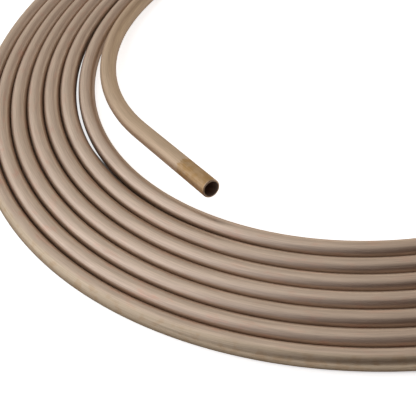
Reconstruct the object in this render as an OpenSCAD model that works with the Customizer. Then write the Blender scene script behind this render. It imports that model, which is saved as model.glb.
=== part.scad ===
/* [Tube] */
// Outside diameter of the tube
tube_od = 7.94; // [4.76:0.01:9.53]
// Thickness of the tube's wall
tube_wall = 0.71; // [0.5:0.01:1.2]
// Length of tube from one cut end to the other
stock_length = 7620; // [3000:10:15000]

/* [Coil] */
// Bend radius of the innermost half turn, to the tube's centre line
inner_bend_r = 133.5; // [125:0.5:200]
// Clearance between neighbouring turns
turn_gap = 0.16; // [0.1:0.01:1]
// Width to which the innermost turns have sprung away from the rest, at the side of the inner end
turn_slack = 1.5; // [0:0.1:4]

/* [Inner end] */
// Bend radius of the quarter turn that has sprung free, to the tube's centre line
spring_bend_r = 122; // [105:1:124]
// Tilt of the plane in which the inner end rises off the floor
spring_tilt = 4.49; // [3:0.01:10]
// Straight length at the inner end
inner_straight = 56.5; // [20:0.5:80]

/* [Hidden] */
$fn = 96;
half_turn = 180;
quarter_turn = half_turn / 2;
micrometre = 0.001;
tube_r = tube_od / 2;
bore_r = tube_r - tube_wall;
half_pitch = round((tube_r + turn_gap / 2) / micrometre) * micrometre;
half_slack = round(turn_slack / 2 / micrometre) * micrometre;
loose_half_turns = 3;

// Length of tube in a bend of radius r and angle a
function arc_length(r, a) = r * a * PI / half_turn;

// Half turn i, counted outwards from the innermost: the even ones at the back share one centre, the odd
// ones at the front another, half a pitch to the left, so that each bend runs on smoothly from the last.
// Those outside the loose ones are wider by the slack and further left, so that it opens on one side only
function slack(i) = i < loose_half_turns ? 0 : half_slack;
function bend_r(i) = inner_bend_r + i * half_pitch + slack(i);
function centre_x(i) = (i % 2 == 0 ? 0 : -half_pitch) - slack(i);
function start_angle(i) = i % 2 == 0 ? half_turn : 0;

// Length of half turns 1 to n
function wound_length(n) = PI * (
    n * inner_bend_r + n * (n + 1) / 2 * half_pitch + max(n + 1 - loose_half_turns, 0) * half_slack
);

// Length that half turn 0 and the inner end leave for the rest, the whole half turns in it, and the
// angle of the part turn that uses up what remains
inner_length = arc_length(inner_bend_r, half_turn) + arc_length(spring_bend_r, quarter_turn) + inner_straight;
rest_length = stock_length - inner_length;
most_half_turns = ceil(rest_length / arc_length(inner_bend_r, half_turn));
half_turns = max([for (n = [0:most_half_turns]) if (wound_length(n) <= rest_length) n]);
last = half_turns + 1;
last_angle = (rest_length - wound_length(half_turns)) / arc_length(bend_r(last), 1);

// Spots on the rim of the coil, seen from above, and the middle of the box round them
function rim_spot(i, turned, side = tube_r) = [
    centre_x(i) + (bend_r(i) + side) * cos(start_angle(i) - turned),
    (bend_r(i) + side) * sin(start_angle(i) - turned)
];
rim = concat(
    [for (i = [0:half_turns], turned = [0:quarter_turn:half_turn]) rim_spot(i, turned)],
    [for (turned = [0:quarter_turn:last_angle]) rim_spot(last, turned)],
    [for (side = [-tube_r, tube_r]) rim_spot(last, last_angle, side)]
);
rim_x = [for (spot = rim) spot.x];
rim_y = [for (spot = rim) spot.y];
middle = [(min(rim_x) + max(rim_x)) / 2, (min(rim_y) + max(rim_y)) / 2];

// Ring section of the tube
module section() {
    difference() {
        circle(r = tube_r);
        circle(r = bore_r);
    }
}

// Bend of radius r about Z, from the X axis through angle sweep
module bend(r, sweep) {
    rotate_extrude(angle = sweep)
        translate([r, 0])
            section();
}

// Straight length l, from the origin along +Y
module straight(l) {
    rotate([-quarter_turn, 0, 0])
        linear_extrude(l)
            section();
}

// Half turn i, or the first part of it, wound outwards
module turn(i, sweep = half_turn) {
    translate([centre_x(i), 0, 0])
        rotate([0, 0, start_angle(i)])
            mirror([0, 1, 0])
                bend(bend_r(i), sweep);
}

// Inner end: a quarter turn and a straight length that rise out of half turn 0 into the eye of the coil
module inner_end() {
    translate([-inner_bend_r, 0, 0])
        rotate([0, -spring_tilt, 0])
            translate([spring_bend_r, 0, 0])
                rotate([0, 0, half_turn]) {
                    bend(spring_bend_r, quarter_turn);
                    translate([0, spring_bend_r, 0])
                        rotate([0, 0, quarter_turn])
                            straight(inner_straight);
                }
}

module tube_coil() {
    color([0.68, 0.58, 0.50])
        translate([-middle.x, -middle.y, tube_r]) {
            inner_end();
            for (i = [0:half_turns])
                turn(i);
            turn(last, last_angle);
        }
}

tube_coil();
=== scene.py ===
# Copper tube coil: a flat spiral of thin drawn tube with a free inner end, lying on a pale floor.
import math

import bpy
import numpy as np
from mathutils import Matrix, Vector


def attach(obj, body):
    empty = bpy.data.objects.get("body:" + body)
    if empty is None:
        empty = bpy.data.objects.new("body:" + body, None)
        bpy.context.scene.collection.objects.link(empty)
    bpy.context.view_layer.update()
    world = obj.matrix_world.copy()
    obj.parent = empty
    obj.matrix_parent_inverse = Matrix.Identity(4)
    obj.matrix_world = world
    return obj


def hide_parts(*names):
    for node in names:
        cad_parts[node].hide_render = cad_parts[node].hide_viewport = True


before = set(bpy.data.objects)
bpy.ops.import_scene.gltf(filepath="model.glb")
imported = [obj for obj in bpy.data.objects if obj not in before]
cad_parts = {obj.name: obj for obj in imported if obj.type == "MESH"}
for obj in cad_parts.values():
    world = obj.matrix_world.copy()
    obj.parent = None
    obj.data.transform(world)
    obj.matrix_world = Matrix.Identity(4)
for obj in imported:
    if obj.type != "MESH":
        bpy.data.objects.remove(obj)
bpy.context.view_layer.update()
scene = bpy.context.scene
scene.view_settings.view_transform = "Standard"

# Tube and coil, in metres: the values of the part's source
TUBE_R = 0.00397
WALL = 0.00071
BORE_R = TUBE_R - WALL
STOCK_LENGTH = 7.620
INNER_BEND_R = 0.1335
TURN_GAP = 0.00016
HALF_SLACK = 0.00075
LOOSE_HALF_TURNS = 3
SPRING_BEND_R = 0.122
SPRING_TILT = math.radians(4.49)
INNER_STRAIGHT = 0.0565
HALF_PITCH = TUBE_R + TURN_GAP / 2

# Eased edges of the cut ends: the outside rolled in, and the bore's edge scraped
CUT_ROLL = 0.00045
CUT_ROLL_DEPTH = CUT_ROLL * 0.8
CUT_SCRAPE = 0.00018
ROLL_POINTS = 6
SCRAPE_POINTS = 4

# Fineness of the tube's mesh
BEND_STEP = math.radians(1.5)
STRAIGHT_STEP = 0.004
SEGMENTS = 36
BORE_SPACING = 3

# Unrolled map of the tube for baked textures: its length in lanes side by side, wide ones because
# streaks are finer across than along, with the bore squeezed and the cut edges stretched
MAP_NAME = "OFBake"
LANES = 11
LANE_GAP = 0.06
LANE_MARGIN = 0.004
BORE_SQUEEZE = 0.12
CUT_STRETCH = 5

# Finishes by their place in the tube's material slots
DRAWN, CUT, BORE = range(3)

# Photograph's frame and the camera that took it
FRAME_PIXELS = 416
SENSOR_MM = 36
FOCAL_PIXELS = 854.8
NEAREST_SEEN = 0.01
CAMERA_AT = Vector((0.26857, -0.23635, 0.24600))
CAMERA_AZIMUTH = math.radians(153.5145)
CAMERA_DIP = math.radians(43.9953)
CAMERA_ROLL = math.radians(-11.1551)

UP = Vector((0, 0, 1))
VIEW_BACK = Vector((math.cos(CAMERA_AZIMUTH), math.sin(CAMERA_AZIMUTH), 0))
VIEW_RIGHT = VIEW_BACK.cross(UP)


def slack(i):
    return 0 if i < LOOSE_HALF_TURNS else HALF_SLACK


def bend_r(i):
    return INNER_BEND_R + i * HALF_PITCH + slack(i)


def centre_x(i):
    return (0 if i % 2 == 0 else -HALF_PITCH) - slack(i)


def wound_bends():
    """Half turns 0, 1, 2 ... and the part turn that uses up the stock: (number, angle swept)."""
    left = STOCK_LENGTH - INNER_STRAIGHT - SPRING_BEND_R * math.pi / 2
    bends = []
    while left > 0:
        i = len(bends)
        swept = min(math.pi, left / bend_r(i))
        bends.append((i, swept))
        left -= swept * bend_r(i)
    return bends


def steps(total, step):
    """Even steps over a length or an angle, its start left out."""
    count = max(1, math.ceil(total / step))
    return np.linspace(0, total, count + 1)[1:]


def tube_path():
    """Centre line from the inner tip to the outer end: for each point its place, its direction, the
    distance run, and whether another turn lies against its outward side."""
    tilted = np.array([math.cos(SPRING_TILT), 0, math.sin(SPRING_TILT)])
    joint = np.array([-INNER_BEND_R, 0, 0])
    points, ways, runs, touched = [], [], [], []

    def add(point, way, run, against=False):
        points.append(point)
        ways.append(way)
        runs.append(run)
        touched.append(against)

    def spring(across, along):
        return joint + across * tilted + np.array([0, -along, 0])

    tip_across = SPRING_BEND_R + INNER_STRAIGHT
    add(spring(tip_across, SPRING_BEND_R), -tilted, 0)
    for run in steps(INNER_STRAIGHT, STRAIGHT_STEP):
        add(spring(tip_across - run, SPRING_BEND_R), -tilted, run)
    for a in steps(math.pi / 2, BEND_STEP):
        across = SPRING_BEND_R * (1 - math.sin(a))
        along = SPRING_BEND_R * math.cos(a)
        way = -math.cos(a) * tilted + np.array([0, math.sin(a), 0])
        add(spring(across, along), way, INNER_STRAIGHT + a * SPRING_BEND_R)
    run = runs[-1]
    bends = wound_bends()
    reach = dict(bends)
    for i, swept in bends:
        start = math.pi if i % 2 == 0 else 0
        for a in steps(swept, BEND_STEP):
            c, s = math.cos(start - a), math.sin(start - a)
            point = np.array([centre_x(i) + bend_r(i) * c, bend_r(i) * s, 0])
            add(point, np.array([s, -c, 0]), run + a * bend_r(i), a <= reach.get(i + 2, 0))
        run += swept * bend_r(i)
    return np.array(points), np.array(ways), np.array(runs), touched


def cut_profile():
    """Round a cut end, from the outside to the bore: (distance back from the cut, radius)."""
    outside = [
        (CUT_ROLL * (1 - math.sin(a)), TUBE_R - CUT_ROLL_DEPTH * (1 - math.cos(a)))
        for a in np.linspace(0, math.pi / 2, ROLL_POINTS)
    ]
    bore = [
        (CUT_SCRAPE * (1 - math.cos(a)), BORE_R + CUT_SCRAPE * (1 - math.sin(a)))
        for a in np.linspace(0, math.pi / 2, SCRAPE_POINTS)
    ]
    return outside + bore


def sweep_tube(name):
    """One closed tube along the path: outside, two cut ends with eased edges, and the bore."""
    points, ways, runs, touched = tube_path()
    verts, places, grooves, opens, faces, finishes, unrolled = [], [], [], [], [], [], []
    turn = np.linspace(0, 2 * math.pi, SEGMENTS, endpoint=False)
    inward, upward = np.cos(turn), np.sin(turn)

    def ring(k, back, radius):
        """Ring of points round the path's point k, moved back along it. Gives its first point's number."""
        side = np.cross(ways[k], UP)
        side /= np.linalg.norm(side)
        above = np.cross(side, ways[k])
        first = len(verts)
        around = np.outer(inward, side) + np.outer(upward, above)
        verts.extend(points[k] + back * ways[k] + radius * around)
        places.extend(zip(radius * inward, radius * upward, [runs[k] + back] * SEGMENTS))
        grooves.extend(touched[k] * -inward)
        opens.extend((1 - touched[k]) * -inward)
        return first

    last = len(points) - 1
    profile = cut_profile()
    tip_loop = [ring(0, back, radius) for back, radius in profile]
    end_loop = [ring(last, -back, radius) for back, radius in profile]
    outside = [tip_loop[0]] + [ring(k, 0, TUBE_R) for k in range(1, last)] + [end_loop[0]]
    inside = range(2, last - 1, BORE_SPACING)
    bore = [tip_loop[-1]] + [ring(k, 0, BORE_R) for k in inside] + [end_loop[-1]]

    # Distances along the map's lanes: the tip's cut, the outside, the outer end's cut, then the bore
    profile_strides = np.hypot(*np.diff(profile, axis=0).T)
    rounding = CUT_STRETCH * np.concatenate([[0], np.cumsum(profile_strides)])
    cut_length = rounding[-1]
    length = runs[-1]
    bore_start = 2 * cut_length + length + 2 * LANE_MARGIN
    lane_length = (bore_start + length * BORE_SQUEEZE) / LANES
    lane_edges = np.linspace(LANE_GAP / 2, 1 - LANE_GAP / 2, SEGMENTS + 1)

    def skin(rings, along, finish):
        """Faces between rings in turn, each ring at its distance along the lanes of the map."""
        for a, b, low, high in zip(rings, rings[1:], along, along[1:]):
            lane = int((low + high) / 2 / lane_length)
            lane_start = lane * lane_length - LANE_MARGIN
            v, v_next = (np.array([low, high]) - lane_start) / (lane_length + 2 * LANE_MARGIN)
            across = (lane + lane_edges) / LANES
            for j in range(SEGMENTS):
                k = (j + 1) % SEGMENTS
                u, u_next = across[j], across[j + 1]
                faces.append((a + j, b + j, b + k, a + k))
                unrolled.extend((u, v, u, v_next, u_next, v_next, u_next, v))
                finishes.append(finish)

    skin(outside, cut_length + runs, DRAWN)
    skin(tip_loop[::-1], cut_length - rounding[::-1], CUT)
    skin(end_loop, cut_length + length + rounding, CUT)
    bore_runs = runs[[0, *inside, last]]
    skin(bore[::-1], bore_start + (length - bore_runs[::-1]) * BORE_SQUEEZE, BORE)

    spots = np.array(verts)
    middle = (spots.min(0) + spots.max(0)) / 2
    mesh = bpy.data.meshes.new(name)
    mesh.from_pydata(spots.tolist(), [], faces)
    mesh.transform(Matrix.Translation((-middle[0], -middle[1], TUBE_R)))
    mesh.polygons.foreach_set("material_index", finishes)
    mesh.polygons.foreach_set("use_smooth", [True] * len(faces))
    mesh.uv_layers.new(name=MAP_NAME).data.foreach_set("uv", np.array(unrolled, np.float32))
    drawn = mesh.attributes.new("tube_place", "FLOAT_VECTOR", "POINT")
    drawn.data.foreach_set("vector", np.array(places, np.float32).ravel())
    for label, values in (("groove_side", grooves), ("open_side", opens)):
        flank = mesh.attributes.new(label, "FLOAT", "POINT")
        flank.data.foreach_set("value", np.array(values, np.float32))
    mesh.update()
    tube = bpy.data.objects.new(name, mesh)
    scene.collection.objects.link(tube)
    return tube


coil = sweep_tube("coiled_tube")
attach(coil, "root")
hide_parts("tube_coil")


# Node helpers
def add_node(tree, kind, **settings):
    node = tree.nodes.new(kind)
    for key, value in settings.items():
        setattr(node, key, value)
    return node


def set_inputs(node, **values):
    for key, value in values.items():
        node.inputs[key.replace("_", " ")].default_value = value


def join(tree, *pairs):
    for out_socket, in_socket in pairs:
        tree.links.new(out_socket, in_socket)


def feed(tree, value, socket):
    """Gives a socket a link or a plain value."""
    if isinstance(value, bpy.types.NodeSocket):
        join(tree, (value, socket))
    else:
        socket.default_value = value


def new_group(name, inputs, outputs):
    """Shader node group with named sockets: each is (name, socket type)."""
    group = bpy.data.node_groups.new(name, "ShaderNodeTree")
    for in_out, sockets in (("INPUT", inputs), ("OUTPUT", outputs)):
        for label, kind in sockets:
            group.interface.new_socket(name=label, in_out=in_out, socket_type=kind)
    return group, group.nodes.new("NodeGroupInput"), group.nodes.new("NodeGroupOutput")


def mesh_value(tree, label, output):
    return add_node(tree, "ShaderNodeAttribute", attribute_name=label).outputs[output]


def noise(tree, vector, scale, detail, roughness):
    """Noise over a vector stretched by scale, a triple per metre."""
    stretch = add_node(tree, "ShaderNodeVectorMath", operation="MULTIPLY")
    stretch.inputs[1].default_value = scale
    texture = add_node(tree, "ShaderNodeTexNoise")
    set_inputs(texture, Scale=1.0, Detail=detail, Roughness=roughness)
    join(tree, (vector, stretch.inputs[0]), (stretch.outputs[0], texture.inputs["Vector"]))
    return texture.outputs["Fac"]


def remap(tree, value, between, to=(0, 1)):
    """Smooth step from one value to another as the input goes between two."""
    node = add_node(tree, "ShaderNodeMapRange", interpolation_type="SMOOTHSTEP")
    for socket, number in zip(node.inputs[1:5], (*between, *to)):
        socket.default_value = number
    join(tree, (value, node.inputs[0]))
    return node.outputs[0]


def mix_colour(tree, factor, a, b, blend="MIX"):
    node = add_node(tree, "ShaderNodeMix", data_type="RGBA", blend_type=blend)
    feed(tree, factor, node.inputs[0])
    feed(tree, a, node.inputs[6])
    feed(tree, b, node.inputs[7])
    return node.outputs[2]


def maths(tree, operation, a, b):
    node = add_node(tree, "ShaderNodeMath", operation=operation)
    feed(tree, a, node.inputs[0])
    feed(tree, b, node.inputs[1])
    return node.outputs[0]


# Patterns of the metal, in waves per metre across the tube, up it and along it
FINE_STREAKS = (2600, 2600, 70)
BROAD_STREAKS = (900, 900, 9)
PATCHES = (260, 260, 95)
DRIFT = (60, 60, 7)
BLOTCHES = (320, 320, 260)

# Parts of a pattern's range over which an effect comes in
PATCH_EDGE = (0.52, 0.72)
STAIN_EDGE = (0.48, 0.66)
MOTTLE_EDGE = (0.35, 0.65)
STREAK_EDGE = (0.28, 0.72)
SOFT_EDGE = (0.3, 0.7)


# Streaks that the drawing die leaves along the tube
def make_die_streaks():
    group, given, put = new_group(
        "die_streaks",
        [("Place", "NodeSocketVector")],
        [("Fine", "NodeSocketFloat"), ("Broad", "NodeSocketFloat")],
    )
    place = given.outputs["Place"]
    fine = noise(group, place, FINE_STREAKS, detail=3.0, roughness=0.6)
    broad = noise(group, place, BROAD_STREAKS, detail=2.0, roughness=0.5)
    join(group, (fine, put.inputs["Fine"]), (broad, put.inputs["Broad"]))
    return group


# Patches where air and handling have turned the metal
def make_tarnish_patches():
    group, given, put = new_group(
        "tarnish_patches",
        [("Place", "NodeSocketVector")],
        [("Patches", "NodeSocketFloat"), ("Drift", "NodeSocketFloat"), ("Blotches", "NodeSocketFloat")],
    )
    place = given.outputs["Place"]
    patches = noise(group, place, PATCHES, detail=4.0, roughness=0.6)
    drift = noise(group, place, DRIFT, detail=2.0, roughness=0.5)
    blotches = noise(group, place, BLOTCHES, detail=3.0, roughness=0.55)
    join(group, (remap(group, patches, PATCH_EDGE), put.inputs["Patches"]))
    join(group, (remap(group, drift, SOFT_EDGE), put.inputs["Drift"]))
    join(group, (blotches, put.inputs["Blotches"]))
    return group


die_streaks = make_die_streaks()
tarnish_patches = make_tarnish_patches()


def new_finish(name):
    """Material with its Principled shader, and the tube's streaks and patches."""
    material = bpy.data.materials.new(name)
    material.use_nodes = True
    tree = material.node_tree
    shader = tree.nodes["Principled BSDF"]
    place = mesh_value(tree, "tube_place", "Vector")
    streaks = add_node(tree, "ShaderNodeGroup", node_tree=die_streaks)
    patches = add_node(tree, "ShaderNodeGroup", node_tree=tarnish_patches)
    join(tree, (place, streaks.inputs["Place"]), (place, patches.inputs["Place"]))
    return material, tree, shader, streaks.outputs, patches.outputs


# Colours, linear
TAUPE = (0.620, 0.490, 0.390, 1)
TAUPE_DARK = (0.565, 0.440, 0.345, 1)
TAN = (0.562, 0.417, 0.288, 1)
OPEN_TAN = (0.52, 0.415, 0.30, 1)
STAIN_BROWN = (0.47, 0.335, 0.215, 1)
TIP_BROWN = (0.42, 0.257, 0.113, 1)
PINK_BROWN = (0.63, 0.395, 0.30, 1)
# Painted shade on the flanks that lie against another turn
GROOVE_SHADE_BROWN = (0.30, 0.215, 0.165, 1)
BORE_BROWN = (0.46, 0.37, 0.33, 1)
CUT_TAN = (0.47, 0.345, 0.24, 1)
GLINT = (0.55, 0.45, 0.37, 1)

# Distances run from the inner tip, in metres, and the size of the tip band's ragged edge
TIP_BAND = 0.020
TIP_BAND_BLUR = 0.0008
TIP_BAND_RAGGED = 0.006
TAN_STRETCH = (0.235, 0.325)
OUTER_TURNS = (4.4, 5.8)

# Strengths of the effects on the drawn outside, each from its weak end to its strong one
PINK_SHARE = (0.45, 0.70)
STAIN_SHARE = (0, 0.6)
OPEN_FLANK = (0.0, 0.6)
GROOVE_FLANK = (0.70, 0.95)
# How strongly the painted groove shade darkens those flanks
GROOVE_SHADE_SHARE = (0, 0.32)
TIP_SHARE = (0.55, 1)
STREAK_SHADE = (0.86, 1.08)
STREAK_STRENGTH = 0.06
STREAK_DEPTH = 0.0002

# Roughness and metal of the finishes
DRAWN_ROUGH = (0.38, 0.47)
DRAWN_METAL = (0.68, 0.91)
CUT_ROUGH = (0.26, 0.4)
CUT_METAL = 1.0
BORE_ROUGH = (0.42, 0.55)
BORE_METAL = 0.5
BORE_DRIFT_SHARE = 0.25


def make_drawn_tube():
    material, tree, shader, streaks, patches = new_finish("drawn_tube")
    split = add_node(tree, "ShaderNodeSeparateXYZ")
    join(tree, (mesh_value(tree, "tube_place", "Vector"), split.inputs[0]))
    run = split.outputs["Z"]

    # Taupe turns with pink patches, and tan on the flanks that no turn covers and on the free end
    body = mix_colour(tree, patches["Drift"], TAUPE_DARK, TAUPE)
    handled = remap(tree, run, OUTER_TURNS, PINK_SHARE)
    body = mix_colour(tree, maths(tree, "MULTIPLY", patches["Patches"], handled), body, PINK_BROWN)
    stained = remap(tree, patches["Blotches"], STAIN_EDGE, STAIN_SHARE)
    open_tan = mix_colour(tree, stained, OPEN_TAN, STAIN_BROWN)
    open_side = mesh_value(tree, "open_side", "Fac")
    body = mix_colour(tree, remap(tree, open_side, OPEN_FLANK), body, open_tan)
    body = mix_colour(tree, remap(tree, run, TAN_STRETCH, (1, 0)), body, TAN)

    # Painted shade on the flanks towards the grooves between turns, and a brown band with a ragged edge at
    # the tip
    groove_side = mesh_value(tree, "groove_side", "Fac")
    body = mix_colour(tree, remap(tree, groove_side, GROOVE_FLANK, GROOVE_SHADE_SHARE), body, GROOVE_SHADE_BROWN)
    uneven = maths(tree, "SUBTRACT", streaks["Broad"], 0.5)
    ragged_run = maths(tree, "ADD", run, maths(tree, "MULTIPLY", uneven, TIP_BAND_RAGGED))
    band = remap(tree, ragged_run, (TIP_BAND - TIP_BAND_BLUR, TIP_BAND + TIP_BAND_BLUR), (1, 0))
    mottle = remap(tree, patches["Blotches"], MOTTLE_EDGE, TIP_SHARE)
    body = mix_colour(tree, maths(tree, "MULTIPLY", band, mottle), body, TIP_BROWN)

    # Fine streaks in the shade and the surface
    shade = remap(tree, streaks["Fine"], STREAK_EDGE, STREAK_SHADE)
    grey = add_node(tree, "ShaderNodeCombineColor")
    for socket in grey.inputs[:3]:
        join(tree, (shade, socket))
    body = mix_colour(tree, 1.0, body, grey.outputs[0], "MULTIPLY")
    rough = remap(tree, streaks["Broad"], SOFT_EDGE, DRAWN_ROUGH)
    metal = remap(tree, run, TAN_STRETCH, DRAWN_METAL)
    bump = add_node(tree, "ShaderNodeBump")
    set_inputs(bump, Strength=STREAK_STRENGTH, Distance=STREAK_DEPTH)
    join(tree, (streaks["Fine"], bump.inputs["Height"]), (bump.outputs[0], shader.inputs["Normal"]))
    join(tree, (body, shader.inputs["Base Color"]), (rough, shader.inputs["Roughness"]))
    join(tree, (metal, shader.inputs["Metallic"]))
    set_inputs(shader, Specular_Tint=GLINT)
    return material


def make_cut_edge():
    material, tree, shader, streaks, patches = new_finish("cut_edge")
    body = mix_colour(tree, patches["Patches"], CUT_TAN, TIP_BROWN)
    rough = remap(tree, streaks["Fine"], SOFT_EDGE, CUT_ROUGH)
    join(tree, (body, shader.inputs["Base Color"]), (rough, shader.inputs["Roughness"]))
    set_inputs(shader, Metallic=CUT_METAL)
    return material


def make_bore_wall():
    material, tree, shader, streaks, patches = new_finish("bore_wall")
    dull = mix_colour(tree, patches["Drift"], BORE_BROWN, TIP_BROWN)
    body = mix_colour(tree, BORE_DRIFT_SHARE, BORE_BROWN, dull)
    rough = remap(tree, streaks["Broad"], SOFT_EDGE, BORE_ROUGH)
    join(tree, (body, shader.inputs["Base Color"]), (rough, shader.inputs["Roughness"]))
    set_inputs(shader, Metallic=BORE_METAL)
    return material


# In the order of DRAWN, CUT and BORE
for finish in (make_drawn_tube(), make_cut_edge(), make_bore_wall()):
    coil.data.materials.append(finish)


# Floor, in metres: a sheet just under the coil
FLOOR_HALF = 40.0
FLOOR_DROP = 0.0001
FLOOR_GREY = (0.86, 0.86, 0.86, 1)
FLOOR_ROUGH = 0.9

# How brightly the floor shows by itself to the eye, where its lit grey makes up the rest of white,
# and in reflections
GLOW_TO_EYE = 0.78
GLOW_TO_METAL = 0.45

# Circles on the floor: (centre, radius, blur). The floor's glow is left out between the coil's eye and its
# rim, a painted shadow under the turns, apart from the gap beside the loose turns.
COIL_EYE = ((0.00075, -0.00203, 0), 0.1370, 0.0002)
GAP_OUTER = ((0.00075, -0.00203, 0), 0.1452, 0.0002)
GAP_END = ((-0.0129, 0.0009, 0), 0.1426, 0.0002)
COIL_RIM = ((0, 0, 0), 0.1900, 0.0015)
MIRRORED_EYE = ((0, 0, 0), 0.132, 0.008)
MIRRORED_RIM = ((0, 0, 0), 0.204, 0.012)


# Pale floor, white to the eye and weaker in reflections, that keeps the coil's shadow and has a painted
# shadow under the turns
def make_floor():
    mesh = bpy.data.meshes.new("floor")
    corners = [(x * FLOOR_HALF, y * FLOOR_HALF, 0) for x, y in ((-1, -1), (1, -1), (1, 1), (-1, 1))]
    mesh.from_pydata(corners, [], [(0, 1, 2, 3)])
    floor = bpy.data.objects.new("floor", mesh)
    floor.location.z = -FLOOR_DROP
    scene.collection.objects.link(floor)
    material = bpy.data.materials.new("pale_floor")
    material.use_nodes = True
    tree = material.node_tree
    shader = tree.nodes["Principled BSDF"]
    set_inputs(shader, Base_Color=FLOOR_GREY, Roughness=FLOOR_ROUGH, Specular_IOR_Level=0.0)
    rays = add_node(tree, "ShaderNodeLightPath").outputs
    mirrored = maths(tree, "MAXIMUM", rays["Is Glossy Ray"], rays["Is Transmission Ray"])
    spot = add_node(tree, "ShaderNodeNewGeometry").outputs["Position"]

    def mask(circle, to):
        """Goes from one value inside a circle to another outside it."""
        centre, radius, blur = circle
        far = add_node(tree, "ShaderNodeVectorMath", operation="DISTANCE")
        far.inputs[1].default_value = centre
        join(tree, (spot, far.inputs[0]))
        return remap(tree, far.outputs["Value"], (radius - blur, radius + blur), to)

    def inside(circle):
        return mask(circle, (1, 0))

    def outside(circle):
        return mask(circle, (0, 1))

    # Glowing floor in the coil's eye, in the gap beside the loose turns, and around the coil;
    # under the turns it has no glow, a painted shadow
    gap = maths(tree, "MULTIPLY", inside(GAP_OUTER), inside(GAP_END))
    light = maths(tree, "MAXIMUM", gap, inside(COIL_EYE))
    light = maths(tree, "MAXIMUM", light, outside(COIL_RIM))
    # Reflections see it darker close to the coil, as a contact shadow
    mirror_light = maths(tree, "MAXIMUM", inside(MIRRORED_EYE), outside(MIRRORED_RIM))
    to_eye = maths(tree, "MULTIPLY", maths(tree, "MULTIPLY", rays["Is Camera Ray"], light), GLOW_TO_EYE)
    to_metal = maths(tree, "MULTIPLY", maths(tree, "MULTIPLY", mirrored, mirror_light), GLOW_TO_METAL)
    glow = add_node(tree, "ShaderNodeEmission")
    both = add_node(tree, "ShaderNodeAddShader")
    join(
        tree,
        (maths(tree, "ADD", to_eye, to_metal), glow.inputs["Strength"]),
        (shader.outputs[0], both.inputs[0]),
        (glow.outputs[0], both.inputs[1]),
        (both.outputs[0], tree.nodes["Material Output"].inputs["Surface"]),
    )
    mesh.materials.append(material)


make_floor()

# Light of the room: pale walls behind, low and high, at the left and at the right, the dim side
# towards the viewer, and a window
LOW_LEFT_WALL = (1.22, 1.27, 1.33, 1)
LOW_RIGHT_WALL = (1.10, 1.10, 1.01, 1)
HIGH_LEFT_WALL = (0.70, 0.70, 0.67, 1)
HIGH_RIGHT_WALL = (0.43, 0.375, 0.35, 1)
VIEWER_SIDE = (0.06, 0.030, 0.020, 1)
WINDOW = (1.77, 1.80, 1.90, 1)

# Where one gives way to the next, as the share of a direction that points that way
LEFT_TO_RIGHT = (0.0, 0.3)
LOW_TO_HIGH = (0.22, 0.45)
VIEWER_TO_WALLS = (0.0, 0.19)
WALLS_TO_WINDOW = (0.58, 1.20)
WALLS_RISE = math.radians(19)
WALLS_WAY = VIEW_BACK * math.cos(WALLS_RISE) + UP * math.sin(WALLS_RISE)
WINDOW_WAY = (UP * 0.54 - VIEW_RIGHT * 0.84).normalized()

SOFTBOX_WAY = (UP + VIEW_BACK * 0.35 - VIEW_RIGHT * 0.25).normalized()
SOFTBOX_DISTANCE = 1.2
SOFTBOX_SIZE = 0.7
SOFTBOX_RADIANCE = 0.35
SOFTBOX_TARGET = Vector((0.02, -0.05, 0))


def make_room():
    world = bpy.data.worlds.new("studio")
    scene.world = world
    world.use_nodes = True
    tree = world.node_tree
    way = add_node(tree, "ShaderNodeTexCoord").outputs["Generated"]

    def towards(vector):
        node = add_node(tree, "ShaderNodeVectorMath", operation="DOT_PRODUCT")
        node.inputs[1].default_value = vector
        join(tree, (way, node.inputs[0]))
        return node.outputs["Value"]

    at_right = remap(tree, towards(VIEW_RIGHT), LEFT_TO_RIGHT)
    low = mix_colour(tree, at_right, LOW_LEFT_WALL, LOW_RIGHT_WALL)
    high = mix_colour(tree, at_right, HIGH_LEFT_WALL, HIGH_RIGHT_WALL)
    walls = mix_colour(tree, remap(tree, towards(UP), LOW_TO_HIGH), low, high)
    colour = mix_colour(tree, remap(tree, towards(WALLS_WAY), VIEWER_TO_WALLS), VIEWER_SIDE, walls)
    colour = mix_colour(tree, remap(tree, towards(WINDOW_WAY), WALLS_TO_WINDOW), colour, WINDOW)
    join(tree, (colour, tree.nodes["Background"].inputs["Color"]))


def make_softbox():
    lamp = bpy.data.lights.new("overhead_softbox", "AREA")
    lamp.size = SOFTBOX_SIZE
    lamp.energy = SOFTBOX_RADIANCE * math.pi * SOFTBOX_SIZE * SOFTBOX_SIZE
    softbox = bpy.data.objects.new("overhead_softbox", lamp)
    softbox.location = SOFTBOX_TARGET + SOFTBOX_WAY * SOFTBOX_DISTANCE
    softbox.rotation_mode = "QUATERNION"
    softbox.rotation_quaternion = (-SOFTBOX_WAY).to_track_quat("-Z", "Y")
    scene.collection.objects.link(softbox)


def make_camera():
    camera = bpy.data.cameras.new("camera")
    camera.sensor_width = SENSOR_MM
    camera.lens = FOCAL_PIXELS / FRAME_PIXELS * SENSOR_MM
    camera.clip_start = NEAREST_SEEN
    viewer = bpy.data.objects.new("camera", camera)
    ahead = VIEW_BACK * math.cos(CAMERA_DIP) - UP * math.sin(CAMERA_DIP)
    level = ahead.cross(UP).normalized()
    rise = level.cross(ahead)
    right = math.cos(CAMERA_ROLL) * level + math.sin(CAMERA_ROLL) * rise
    above = -math.sin(CAMERA_ROLL) * level + math.cos(CAMERA_ROLL) * rise
    turned = Matrix((right, above, -ahead)).transposed()
    viewer.matrix_world = Matrix.Translation(CAMERA_AT) @ turned.to_4x4()
    scene.collection.objects.link(viewer)
    scene.camera = viewer


make_room()
make_softbox()
make_camera()
